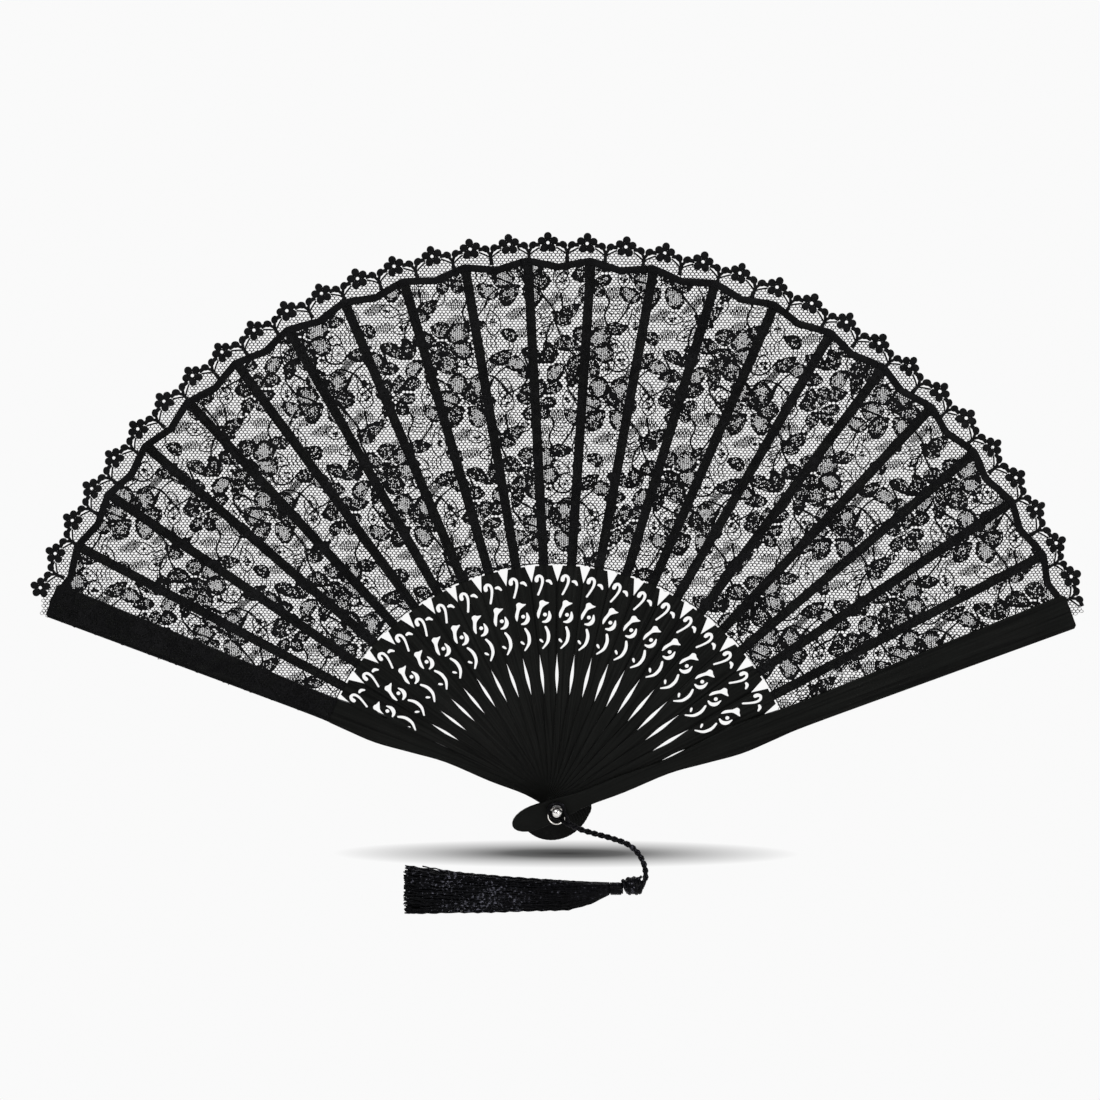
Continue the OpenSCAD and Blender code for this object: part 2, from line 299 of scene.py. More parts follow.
# One repeat of the lace: kind, place across and up, heading clockwise from up in degrees,
# length, width and bend. Repeats follow a slanted lattice.
LATTICE = ((54.5, -1.0), (-21.0, -47.0))
REPEAT = (
    ("petal", -0.5, 2.6, 352, 6.4, 7.0, 0.0),
    ("stipple", 2.0, 1.8, 48, 9.0, 7.8, 0.6),
    ("stipple", 2.6, -0.7, 104, 8.6, 7.2, -0.5),
    ("petal", 0.8, -2.6, 162, 8.6, 7.4, 0.4),
    ("petal", -1.6, -2.2, 216, 7.4, 6.0, -0.4),
    ("petal", -2.7, 0.5, 282, 9.2, 5.8, 0.8),
    ("stipple", 28.8, 28.4, 336, 8.4, 7.6, -0.6),
    ("stipple", 31.6, 28.0, 32, 8.6, 7.2, 0.6),
    ("petal", 32.6, 25.6, 92, 8.4, 6.4, 0.6),
    ("stipple", 31.4, 23.6, 148, 8.8, 6.8, -0.5),
    ("petal", 28.6, 23.4, 216, 9.4, 6.4, 0.9),
    ("stipple", 27.4, 26.0, 276, 8.8, 7.6, -0.6),
    ("petal", 2.9, 28.0, 14, 7.2, 4.6, 0.0),
    ("petal", 4.0, 26.4, 84, 6.0, 4.0, 0.4),
    ("petal", 3.4, 25.2, 146, 5.8, 4.4, 0.0),
    ("petal", 1.7, 25.2, 214, 6.2, 4.4, 0.0),
    ("petal", 1.1, 26.8, 288, 6.4, 4.6, 0.4),
    ("leaf", 17.8, -5.6, 64, 9.6, 5.0, 1.2),
    ("leaf", 30.4, -1.2, 124, 8.6, 4.8, -1.0),
    ("leaf", 28.0, 2.4, 300, 6.8, 4.6, 0.6),
    ("leaf", 38.0, -6.4, 22, 8.2, 4.8, 0.8),
    ("leaf", -12.4, -5.2, 338, 8.4, 5.2, 0.8),
    ("leaf", -5.6, 10.2, 300, 7.8, 4.8, -0.6),
    ("leaf", 9.2, -14.4, 160, 8.2, 5.0, 0.7),
    ("leaf", 33.6, -14.0, 212, 8.4, 4.8, -0.8),
    ("leaf", 44.6, 12.4, 64, 8.2, 4.8, 0.8),
    ("leaf", 15.6, 32.6, 20, 8.4, 4.4, -0.8),
    ("leaf", -8.6, -14.0, 250, 7.8, 4.8, 0.6),
    ("hollow", 14.6, 23.6, 356, 7.6, 4.4, 0.4),
    ("hollow", 42.6, 24.6, 36, 8.2, 5.0, 0.5),
    ("hollow", 19.6, 4.0, 350, 9.8, 5.6, 0.5),
    ("hollow", 35.2, 4.2, 58, 8.6, 4.6, 0.7),
    ("hollow", 13.2, -0.8, 158, 8.0, 5.4, 0.4),
    ("hollow", 23.6, -12.4, 186, 7.8, 5.0, -0.5),
    ("hollow", -9.4, 22.6, 8, 7.2, 5.2, 0.3),
    ("hollow", -3.6, 15.0, 24, 7.4, 4.8, 0.4),
    ("hollow", 47.8, -0.8, 172, 8.2, 5.2, -0.4),
    ("hollow", -0.4, -14.0, 196, 7.8, 5.0, 0.4),
    ("hatch", 12.6, -13.0, 52, 12.4, 4.0, 0.0),
    ("hatch", 40.6, 34.6, 210, 8.8, 4.2, 0.0),
    ("hatch", 18.6, 15.4, 76, 8.6, 3.4, 0.0),
    ("ladder", 11.8, 19.6, 186, 7.0, 4.8, 0.0),
    ("ladder", 38.6, 13.8, 168, 7.4, 4.6, 0.0),
    ("ladder", 17.6, -17.6, 200, 7.0, 4.8, 0.0),
    ("ladder", -13.6, 6.4, 342, 6.6, 4.4, 0.0),
)
SMALL = (
    ("leaf", 8.4, 4.6, 0.7), ("hatch", 9.6, 4.2, 0.0), ("stipple", 8.6, 5.4, 0.6),
    ("hatch", 8.6, 3.8, 0.0), ("hollow", 8.2, 4.8, 0.5), ("ladder", 7.0, 5.0, 0.0),
)  # kind, length, width and bend of the motifs that fill the gaps
GAP = 5.5  # millimetres between the middles of two motifs, where a gap is filled
GAP_TRIES = 1500
FIRST_REPEAT = (-11, 132)  # where one repeat starts
REPEAT_REACH = 64  # how far a repeat's motifs lie from its start
OUTLINE_GAP = 0.9  # millimetres between the points of a motif's outline
HATCH_GAP = 0.68  # millimetres between two stitches
HOLLOW_HEART = 0.42  # size of the sewn heart of a hollow motif
# Flower centres of one repeat, each with the reach of its star of stamens.
CENTRES = ((0.0, 0.0, 2.5), (30.0, 26.0, 2.3), (2.6, 26.6, 1.3))
VINES = (
    ((12.8, 40.6), (15.4, 36.0), (20.2, 33.2), (24.4, 31.6)),
    ((45.6, 39.4), (42.0, 36.4), (39.0, 33.0), (36.4, 31.0)),
    ((11.2, 8.6), (15.2, 14.2), (18.0, 19.6), (22.6, 23.0)),
    ((36.0, 22.4), (39.4, 18.4), (42.6, 13.4), (44.0, 7.0), (46.8, 1.2), (50.6, -4.0)),
    ((26.6, -19.8), (21.6, -13.6), (15.0, -10.4), (9.6, -12.8), (5.0, -10.4)),
    ((6.2, 23.0), (9.4, 18.6), (7.4, 13.0), (9.0, 8.6), (7.6, 5.4)),
    ((-3.2, -9.4), (-6.4, -14.0), (-3.6, -19.2), (2.2, -21.8), (7.4, -24.6)),
    ((30.2, -2.0), (33.0, -8.4), (31.2, -14.4), (25.8, -18.0)),
    ((-11.2, -1.4), (-14.8, 3.4), (-13.2, 9.4), (-9.0, 14.4), (-9.2, 21.6)),
    ((17.4, -5.6), (14.4, -8.2), (9.6, -7.6), (8.4, -3.4)),
)


def outline_share(kind, s):
    """Half width of a motif at share s of its length, as a share of its full width."""
    if kind in ("petal", "stipple"):
        return 0.5 * np.sin(np.pi * np.clip(s, 0, 1) ** 1.25) ** 0.5
    return 0.5 * np.sin(np.pi * np.clip(s, 0, 1) ** 0.85) ** 0.8


class Motif:
    """One petal, leaf or stroke field, with its own axes: s along it and v across it."""

    def __init__(self, kind, x, z, heading, length, width, bend):
        self.kind = kind
        self.base = np.array([x, z])
        turn = math.radians(heading)
        self.along = np.array([math.sin(turn), math.cos(turn)])
        self.across = np.array([math.cos(turn), -math.sin(turn)])
        self.length = length
        self.width = width
        self.bend = bend

    def point(self, s, v):
        """The place at share s of the length and v millimetres across."""
        s = np.asarray(s, float)[:, None]
        sway = 4 * self.bend * s * (1 - s)
        return self.base + s * self.length * self.along + (v[:, None] + sway) * self.across

    def outline(self):
        """A closed curve round the motif."""
        steps = max(6, round(self.length / OUTLINE_GAP))
        s = (1 - np.cos(np.pi * np.arange(steps + 1) / steps)) / 2
        half = outline_share(self.kind, s) * self.width
        return np.concatenate([self.point(s, half), self.point(s[::-1], -half[::-1])[1:]])

    def inside(self, x, z, scale):
        """True where a point is in the scaled motif, and how near its rim, from 0 to 1."""
        dx = x - self.base[0]
        dz = z - self.base[1]
        s = (dx * self.along[0] + dz * self.along[1]) / self.length
        v = dx * self.across[0] + dz * self.across[1] - 4 * self.bend * s * (1 - s)
        s_in = (s - (1 - scale) / 2) / scale
        half = outline_share(self.kind, s_in) * self.width * scale
        rim = np.maximum(np.abs(2 * s_in - 1), np.abs(v) / np.maximum(half, 0.01))
        return (s_in > 0) & (s_in < 1) & (np.abs(v) < half), rim


def filled_repeat():
    """One repeat with its gaps filled by small motifs, most of them lying on their sides."""
    repeat = list(REPEAT)
    steps = np.array([(i, j) for i in (-2, -1, 0, 1, 2) for j in (-2, -1, 0, 1, 2)])
    copies = steps @ np.array(LATTICE)
    taken = [Motif(*motif).point([0.5], np.zeros(1))[0] for motif in REPEAT]
    for _ in range(GAP_TRIES):
        middle = RANDOM.random(2) @ np.array(LATTICE)
        apart = np.array(taken)[:, None] + copies - middle
        if np.hypot(apart[..., 0], apart[..., 1]).min() < GAP:
            continue
        kind, length, width, bend = SMALL[len(taken) % len(SMALL)]
        heading = RANDOM.choice([60, 90, 120, 240, 270, 300]) + RANDOM.normal() * 14
        turn = math.radians(heading)
        x, z = middle - length / 2 * np.array([math.sin(turn), math.cos(turn)])
        repeat.append((kind, x, z, heading, length, width, bend))
        taken.append(middle)
    return repeat


def repeat_places():
    """Every lattice point whose repeat can reach the leaf."""
    reach = REPEAT_REACH
    (ax, az), (bx, bz) = LATTICE
    for i in range(-9, 10):
        for j in range(-9, 10):
            x = i * ax + j * bx + FIRST_REPEAT[0]
            z = i * az + j * bz + FIRST_REPEAT[1]
            r = math.hypot(x, z)
            angle = abs(math.atan2(x, z))
            if LEAF_R - reach < r < TIP_R + reach and angle < STEP * SPANS / 2 + reach / r:
                yield x, z


# ---------------------------------------------------------------- the lace's ground

CELL_W = 1.5  # one hexagon of the net, side to side
ROW_H = 1.0  # from one row of hexagons to the next
NET_HOLE = 0.75  # a net cell's hole, as a share of the cell
CORNERS = np.array([(0, 2), (1, 1), (1, -1), (0, -2), (-1, -1), (-1, 1)])
CORNER_W = CELL_W / 2
CORNER_H = ROW_H / 3


def scatter(a, b, seed):
    """A repeatable random number from 0 to 1 for each pair of whole numbers."""
    value = np.sin(a * 12.9898 + b * 78.233 + seed * 37.719) * 43758.5453
    return value - np.floor(value)


def corner_place(a, b):
    """Plan position of lattice corner (a, b), a little off its true place."""
    x = a * CORNER_W + 0.16 * (scatter(a, b, 1) - 0.5)
    z = b * CORNER_H + 0.14 * (scatter(a, b, 2) - 0.5)
    return x, z


FLOWER_STEP = 3.9  # degrees from one trim flower to the next
FLOWER_PHASE = -1.15  # degrees from the fan's middle to a flower
GUARD_WIDENS_R = 112  # where a guard's plain upper part starts


def guard_half_width(r):
    """Half width of a guard above the brins."""
    return 5 + 2 * (r - GUARD_WIDENS_R) / (TIP_R - GUARD_WIDENS_R)


def ribbon_r(x, z):
    """Radius of the ribbon's middle line: a peak over each slip, a dip in mid-span."""
    t = np.mod(share(x, z) - 0.07, 1)
    return TIP_R - 1.0 - 2.7 * np.minimum(t, 1 - t) * 2


def on_leaf(x, z):
    """True for points on the lace, from the brins up to the trim."""
    r = np.hypot(x, z)
    angle = np.arctan2(x, z)
    left = r * np.sin(angle - blade_angle(0))
    right = r * np.sin(angle - blade_angle(SPANS))
    flower = np.cos(2 * np.pi * (np.degrees(angle) - FLOWER_PHASE) / FLOWER_STEP)
    edge = TIP_R + 3.4 + 1.6 * flower
    low = LEAF_R + 0.2
    return (
        (r > low) & (r < edge) & (left > 0.5 - guard_half_width(r))
        & (right < 2.4) & (np.abs(angle) < SPANS * STEP / 2 + 0.09)
    )


def lace_cells():
    """Cell centres of the whole leaf, in lattice units."""
    reach = TRIM_R + 4
    rows = np.arange(-5, int(reach / ROW_H))
    columns = np.arange(-int(reach / CELL_W) - 1, int(reach / CELL_W) + 2)
    row, column = [g.ravel() for g in np.meshgrid(rows, columns)]
    a = 2 * column + (row % 2)
    b = 3 * row
    keep = on_leaf(a * CORNER_W, b * CORNER_H)
    return a[keep], b[keep]


# How densely each motif is sewn at its rim and in its middle.
FILL = {"petal": (1.15, 0.6), "stipple": (1.1, 0.12), "leaf": (1.1, 0.72), "hollow": (0.9, 0.5)}


def motif_fill(x, z, motifs):
    """0 on the bare net, and over 1 where a motif is sewn shut."""
    fill = np.zeros(len(x))
    for motif in motifs:
        if motif.kind not in FILL:
            continue
        near = (np.abs(x - motif.base[0]) < motif.length + 2) & (
            np.abs(z - motif.base[1]) < motif.length + 2
        )
        index = np.nonzero(near)[0]
        if not len(index):
            continue
        scale = HOLLOW_HEART if motif.kind == "hollow" else 1.0
        inside, rim = motif.inside(x[index], z[index], scale)
        edge, middle = FILL[motif.kind]
        dense = middle + (edge - middle) * np.clip(2.5 * rim - 1.2, 0, 1)
        fill[index] = np.maximum(fill[index], inside * dense)
    return fill


def add_ground(builder, a, b, fill):
    """Net cells as rings of thread, and motif cells as six stitched sectors each."""
    keys = ((a[:, None] + CORNERS[:, 0]) + 4096) * 16384 + (b[:, None] + CORNERS[:, 1]) + 4096
    unique, corner = np.unique(keys, return_inverse=True)
    corner = corner.reshape(len(a), 6)
    ca = unique // 16384 - 4096
    cb = unique % 16384 - 4096
    cx, cz = corner_place(ca, cb)
    count = len(unique)
    top = np.stack([cx, np.full(count, -THREAD_R), cz], 1)
    bottom = np.stack([cx, np.full(count, THREAD_R), cz], 1)
    points = [top, bottom]
    triangles = [np.empty((0, 3), int)]
    quads = []
    total = 2 * count
    following = np.roll(corner, -1, axis=1)

    net = np.nonzero(fill < 0.05)[0]
    if len(net):
        centre_x = cx[corner[net]].mean(1)
        centre_z = cz[corner[net]].mean(1)
        hole = NET_HOLE + 0.08 * (scatter(a[net], b[net], 3) - 0.5)
        inner_x = centre_x[:, None] + hole[:, None] * (cx[corner[net]] - centre_x[:, None])
        inner_z = centre_z[:, None] + hole[:, None] * (cz[corner[net]] - centre_z[:, None])
        points.append(
            np.stack([inner_x, np.zeros_like(inner_x), inner_z], -1).reshape(-1, 3)
        )
        inner = total + np.arange(len(net) * 6).reshape(-1, 6)
        inner_next = np.roll(inner, -1, axis=1)
        for level, flip in ((0, False), (count, True)):
            quad = np.stack(
                [corner[net] + level, following[net] + level, inner_next, inner], -1
            ).reshape(-1, 4)
            quads.append(quad[:, ::-1] if flip else quad)
        total += len(net) * 6

    sewn = np.nonzero(fill >= 0.05)[0]
    if len(sewn):
        centre_x = cx[corner[sewn]].mean(1)
        centre_z = cz[corner[sewn]].mean(1)
        for height in (-1.6 * THREAD_R, THREAD_R):
            points.append(np.stack([centre_x, np.full(len(sewn), height), centre_z], 1))
        hub_top = total + np.arange(len(sewn))
        hub_bottom = hub_top + len(sewn)
        total += 2 * len(sewn)
        sector = np.arange(6)[None, :]
        draw = scatter(a[sewn][:, None] * 7 + sector, b[sewn][:, None] * 5 + 3 * sector, 4)
        open_ = draw > fill[sewn][:, None] * 0.9
        hub_top = np.broadcast_to(hub_top[:, None], open_.shape)
        hub_bottom = np.broadcast_to(hub_bottom[:, None], open_.shape)
        first = corner[sewn]
        second = following[sewn]
        shut = ~open_
        triangles.append(np.stack([hub_top[shut], first[shut], second[shut]], 1))
        triangles.append(
            np.stack([hub_bottom[shut], second[shut] + count, first[shut] + count], 1)
        )
        tri_x = np.stack(
            [np.broadcast_to(centre_x[:, None], open_.shape)[open_], cx[first[open_]],
             cx[second[open_]]], 1)
        tri_z = np.stack(
            [np.broadcast_to(centre_z[:, None], open_.shape)[open_], cz[first[open_]],
             cz[second[open_]]], 1)
        size = 0.42 + 0.2 * scatter(tri_x[:, 0] * 31, tri_z[:, 1] * 17, 5)
        mid_x = tri_x.mean(1)
        mid_z = tri_z.mean(1)
        hole_x = mid_x[:, None] + size[:, None] * (tri_x - mid_x[:, None])
        hole_z = mid_z[:, None] + 1.35 * size[:, None] * (tri_z - mid_z[:, None])
        points.append(
            np.stack([hole_x, np.zeros_like(hole_x), hole_z], -1).reshape(-1, 3)
        )
        inner = total + np.arange(len(hole_x) * 3).reshape(-1, 3)
        for outer, flip in (
            (np.stack([hub_top[open_], first[open_], second[open_]], 1), False),
            (np.stack([hub_bottom[open_], first[open_] + count, second[open_] + count], 1), True),
        ):
            quad = np.stack(
                [outer, np.roll(outer, -1, 1), np.roll(inner, -1, 1), inner], -1
            ).reshape(-1, 4)
            quads.append(quad[:, ::-1] if flip else quad)

    edge = np.stack([corner, following], -1).reshape(-1, 2)
    name = np.sort(edge, axis=1)
    name = name[:, 0].astype(np.int64) * count + name[:, 1]
    _, where, times = np.unique(name, return_index=True, return_counts=True)
    rim = edge[where[times == 1]]
    quads.append(np.stack([rim[:, 1], rim[:, 0], rim[:, 0] + count, rim[:, 1] + count], 1))
    builder.add(np.concatenate(points), np.concatenate(quads), np.concatenate(triangles))


def add_on_leaf(builders, path, radius, lift):
    """A thread along a path, left out where the path leaves the lace."""
    middle = (path[:-1] + path[1:]) / 2
    r = np.hypot(middle[:, 0], middle[:, 1])
    keep = on_leaf(middle[:, 0], middle[:, 1]) & (r < ribbon_r(middle[:, 0], middle[:, 1]))
    edges = np.flatnonzero(np.diff(np.concatenate([[0], keep.astype(int), [0]])))
    for first, last in zip(edges[::2], edges[1::2]):
        add_cord(builders, path[first : last + 1], radius, lift, sides=5, flat=0.5)


def add_hatch(threads, motif):
    """Near-upright stitches side by side along a motif's middle line."""
    count = int(motif.length / HATCH_GAP)
    shares = (np.arange(count) + 0.5) / count
    middles = motif.point(shares, np.zeros(count))
    for middle, half in zip(middles, outline_share("leaf", shares) * motif.width):
        half *= 0.8 + 0.5 * RANDOM.random()
        stitch = middle + np.array([[-0.18, -1.0], [0.0, 0.0], [0.18, 1.0]]) * half
        add_on_leaf(threads, stitch, 0.2, 0.1)


def add_ladder(threads, motif):
    """Bowed rungs across a motif's middle line."""
    for s in np.arange(0.1, 1.0, 0.24):
        shares = np.array([s - 0.06, s + 0.03, s + 0.05, s - 0.02])
        across = np.array([-0.5, -0.2, 0.2, 0.5]) * motif.width
        add_on_leaf(threads, curve_through(motif.point(shares, across), 0.6), 0.19, 0.1)


def add_motif_threads(threads, motif):
    """The raised threads of one motif."""
    if motif.kind == "hatch":
        add_hatch(threads, motif)
    elif motif.kind == "ladder":
        add_ladder(threads, motif)
    else:
        radius = 0.24 if motif.kind == "hollow" else 0.28
        add_on_leaf(threads, motif.outline(), radius, 0.12)


def add_centre(threads, x, z, reach):
    """A flower's ring and stamens."""
    turn = np.linspace(0, 2 * np.pi, 13)
    add_on_leaf(threads, np.stack([x + 0.8 * np.sin(turn), z + 0.8 * np.cos(turn)], 1), 0.22, 0.15)
    for heading in np.radians((8, 76, 146, 218, 292)):
        ray = np.array([np.sin(heading), np.cos(heading)])
        arm = np.array([x, z]) + np.array([0.8, 0.5 * (0.8 + reach), reach])[:, None] * ray
        add_on_leaf(threads, arm, 0.3, 0.15)


def build_lace(lace_material, cord_material):
    """The net with its sewn motifs, and the raised threads round the motifs."""
    motifs = []
    threads = {k: Builder() for k in range(1, SPANS + 1)}
    repeat = filled_repeat()
    for x, z in repeat_places():
        for kind, mx, mz, heading, length, width, bend in repeat:
            motifs.append(Motif(kind, x + mx, z + mz, heading, length, width, bend))
        for cx, cz, reach in CENTRES:
            add_centre(threads, x + cx, z + cz, reach)
        for vine in VINES:
            path = curve_through(np.array(vine) + (x, z), 0.8)
            add_on_leaf(threads, path, 0.33, 0.14)
            wave = 0.55 * np.cos(np.arange(len(path)) * 0.5)[:, None]
            add_on_leaf(threads, path + wave * np.array([0.8, 0.6]), 0.2, 0.1)
    for motif in motifs:
        add_motif_threads(threads, motif)

    a, b = lace_cells()
    x = a * CORNER_W
    z = b * CORNER_H
    fill = motif_fill(x, z, motifs)
    fill[np.hypot(x, z) > ribbon_r(x, z)] = 0
    spans = span_of(x, z)
    for k in range(1, SPANS + 1):
        mine = spans == k
        ground = Builder()
        add_ground(ground, a[mine], b[mine], fill[mine])
        net = drape(ground, k, numbered("lace_net", k), lace_material)
        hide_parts(numbered("leaf", k))
        drape(threads[k], k, numbered("lace_threads", k), cord_material)


# ---------------------------------------------------------------- ribbon and trim


def polar(r, angle):
    return np.stack([r * np.sin(angle), r * np.cos(angle)], -1)


LOBE_HEIGHT = 0.32


def add_lobes(builders, places, headings, lengths, widths):
    """Flattened, closed beads of wound thread on the leaf."""
    around, rows = 12, 7
    u = np.arange(around) * 2 * np.pi / around
    v = np.pi * (np.arange(rows) + 0.5) / rows
    local = np.stack(
        [np.outer(np.sin(v), np.cos(u)), np.outer(np.sin(v), np.sin(u)),
         np.outer(np.cos(v), np.ones(around))], -1
    ).reshape(-1, 3)
    for place, heading, length, width in zip(places, headings, lengths, widths):
        across = np.array([math.cos(heading), -math.sin(heading)])
        along = np.array([math.sin(heading), math.cos(heading)])
        flat = (
            place + local[:, :1] * width / 2 * across + local[:, 2:] * length / 2 * along
        )
        points = np.stack([flat[:, 0], -0.12 + local[:, 1] * LOBE_HEIGHT, flat[:, 1]], 1)
        span = int(span_of(np.array([place[0]]), np.array([place[1]]))[0])
        builders[span].add(points, *ring_faces(rows, around))


def build_edging(ribbon_material, trim_material):
    """The ribbon over the blade tips, and the row of thread flowers beyond it."""
    ribbons = {k: Builder() for k in range(1, SPANS + 1)}
    half_fan = SPANS * STEP / 2
    guard_edge = guard_half_width(TIP_R) / TIP_R
    angles = np.linspace(-half_fan - guard_edge + 0.004, half_fan + 0.012, SPANS * 28)
    line = polar(TIP_R, angles)
    line = polar(ribbon_r(line[:, 0], line[:, 1]), angles)
    add_cord(ribbons, line, 1.4, 0.16, sides=10, flat=0.14)
    hem = polar(LEAF_R + 0.45, angles[::2])
    add_cord(ribbons, hem, 0.24, 0.1, sides=8, flat=0.6)
    low = np.linspace(LEAF_R + 0.4, TIP_R - 2, 90)
    side = blade_angle(0) - (guard_half_width(low) - 0.6) / low
    add_cord(ribbons, polar(low, side), 0.3, 0.1, sides=8, flat=0.6)

    trims = {k: Builder() for k in range(1, SPANS + 1)}
    flower_step = math.radians(FLOWER_STEP)
    phase = math.radians(FLOWER_PHASE)
    flowers = int(half_fan / flower_step)
    flower_r = TRIM_R - 4.1
    turn = np.linspace(0, 2 * np.pi, 13)
    eye = 1.05 * np.stack([np.sin(turn), np.cos(turn)], -1)
    for j in range(-flowers, flowers + 1):
        angle = j * flower_step + phase
        centre = polar(flower_r, angle)
        headings = angle + np.arange(5) * 2 * np.pi / 5
        spread = np.stack([np.sin(headings), np.cos(headings)], -1)
        add_lobes(trims, centre + 2.5 * spread, headings, [3.2] * 5, [3.05] * 5)
        add_cord(trims, centre + eye, 0.42, 0.2, sides=6)
    for j in range(-flowers - 1, flowers + 1):
        angle = (j + 0.5) * flower_step + phase
        if abs(angle) > half_fan + 0.01:
            continue
        foot = polar(TIP_R - 1.6, angle)
        fork = polar(TIP_R + 2.2, angle)
        add_cord(trims, np.linspace(foot, fork, 5), np.linspace(0.9, 0.5, 5), 0.2)
        for side in (-1, 1):
            lobe = polar(TIP_R + 4.9, angle + side * 1.55 / TIP_R)
            add_lobes(trims, [lobe], [angle + side * 0.9], [3.3], [2.7])
            add_cord(trims, np.linspace(fork, lobe, 4), 0.6, 0.15)
            flower_side = polar(flower_r - 0.6, angle + side * (flower_step / 2 - 2.9 / TIP_R))
            add_cord(trims, np.linspace(lobe, flower_side, 4), 0.8, 0.15)
            arc = curve_through(
                [polar(TIP_R + 1.2, angle), polar(TIP_R + 2.6, angle + side * 2.0 / TIP_R),
                 polar(TIP_R + 3.9, angle + side * 4.2 / TIP_R)], 0.5)
            add_cord(trims, arc, 0.34, 0.15)
    for k in range(1, SPANS + 1):
        drape(ribbons[k], k, numbered("ribbon", k), ribbon_material)
        drape(trims[k], k, numbered("trim", k), trim_material)


# ---------------------------------------------------------------- cord and tassel

STRAND_R = 0.74
LOOP_R = 3.0
CORD_TWIST = 5.4  # millimetres for one turn of the two strands
BEND_R = 14.5


def build_cord(material):
    """One strand that loops round the pin's neck, and comes back twisted with itself."""
    low, high = node_box("cord")
    loop_y = high[1] - 0.6
    cord_y = low[1] + 1.2
    bend_x = high[0] - 1.2 - BEND_R
    bend_z = -25.5
    turn = np.radians(np.linspace(73, -8, 14))
    centre = curve_through(
        [(4.6, cord_y + 0.5, -4.9), (9, cord_y, -6.9), (14.5, cord_y, -8.6), (20, cord_y, -10.1)]
        + [(bend_x + BEND_R * math.cos(t), cord_y, bend_z + BEND_R * math.sin(t)) for t in turn],
        0.3,
    )
    across, up = frames_along(centre)
    run = np.concatenate([[0], np.cumsum(np.linalg.norm(np.diff(centre, axis=0), axis=1))])
    phase = 2 * np.pi * run / CORD_TWIST
    halves = []
    for side in (0, np.pi):
        offset = np.cos(phase + side)[:, None] * across + np.sin(phase + side)[:, None] * up
        halves.append(centre + 0.5 * offset)
    lower, upper = sorted(halves, key=lambda half: half[0][2])
    ring = np.radians(np.arange(-78, -370, -12))
    loop = np.stack(
        [LOOP_R * np.cos(ring), np.full(len(ring), loop_y), LOOP_R * np.sin(ring)], 1
    )
    loop = curve_through(np.concatenate([lower[:1], loop, upper[:1]]), 0.3)
    strand = np.concatenate([lower[::-1], loop[1:-1], upper])
    builder = Builder()
    add_yarn(builder, strand, STRAND_R, plies=3, lay=3.4, depth=0.22, sides=12)
    piece = builder.make("twisted_cord", material, "cord", "cord")
    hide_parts("cord")


def build_tassel_head(material):
    """A knot of yarn turns over a core, and the neck's binding."""
    low, high = node_box("tassel_head")
    centre = (low + high) / 2
    half = (high - low) / 2
    knot = Builder()
    around, rows = 24, 14
    u = np.arange(around) * 2 * np.pi / around
    v = np.pi * (np.arange(rows) + 0.5) / rows
    core = np.stack(
        [np.outer(np.cos(v), np.ones(around)), np.outer(np.sin(v), np.cos(u)),
         np.outer(np.sin(v), np.sin(u))], -1
    ).reshape(-1, 3)
    knot.add(centre + core * (half - 0.45), *ring_faces(rows, around))
    turns = np.linspace(0, 2 * np.pi, 60)
    for place, lean in zip(np.linspace(-0.78, 0.78, 6), (0.35, -0.3, 0.4, -0.35, 0.3, -0.4)):
        reach = math.sqrt(1 - place**2) * 0.9
        x = place * half[0] + lean * 2.2 * np.cos(turns + place * 4)
        wrap = np.stack(
            [x, reach * (half[1] - 0.5) * np.sin(turns), reach * (half[2] - 0.5) * np.cos(turns)],
            1,
        )
        add_yarn(knot, centre + wrap, 0.82, plies=3, lay=2.8, depth=0.3, sides=10)
    tail = centre + curve_through(
        [(half[0] * 0.2, -1.2, half[2] * 0.7), (half[0] * 0.55, -1.6, half[2] * 0.95),
         (half[0] * 0.72, -1.4, half[2] * 1.12)], 0.3)
    add_yarn(knot, tail, 0.6, plies=3, lay=2.4, depth=0.3, sides=10)
    piece = knot.make("tassel_knot", material, "tassel", "tassel")
    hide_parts("tassel_head")

    low, high = node_box("tassel_binding")
    centre = (low + high) / 2
    reach = (high[1] - low[1]) / 2
    binding = Builder()
    windings = 9
    turn = np.linspace(0, 2 * np.pi * windings, windings * 26)
    x = np.linspace(low[0] + 0.25, high[0] - 0.25, len(turn))
    coil = np.stack(
        [x, centre[1] + (reach - 0.28) * np.sin(turn), centre[2] + (reach - 0.28) * np.cos(turn)], 1
    )
    add_yarn(binding, coil, 0.3, plies=2, lay=1.2, depth=0.2, sides=8)
    neck = np.tile(centre, (8, 1))
    neck[:, 0] = np.linspace(low[0] - 0.5, high[0] + 0.5, 8)
    add_yarn(binding, neck, reach - 0.45, plies=8, lay=40, depth=0.05, sides=20)
    piece = binding.make("neck_binding", material, "tassel", "tassel")
    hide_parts("tassel_binding")


SKIRT_THREADS = 300
# Along the skirt: share of its length, middle height, half height and half depth.
SKIRT = np.array([
    (0.00, -30.5, 2.2, 2.1),
    (0.09, -32.3, 4.3, 2.8),
    (0.20, -33.3, 5.8, 3.1),
    (0.50, -32.9, 7.0, 3.2),
    (0.78, -32.0, 8.4, 3.2),
    (1.00, -30.9, 9.8, 3.0),
])


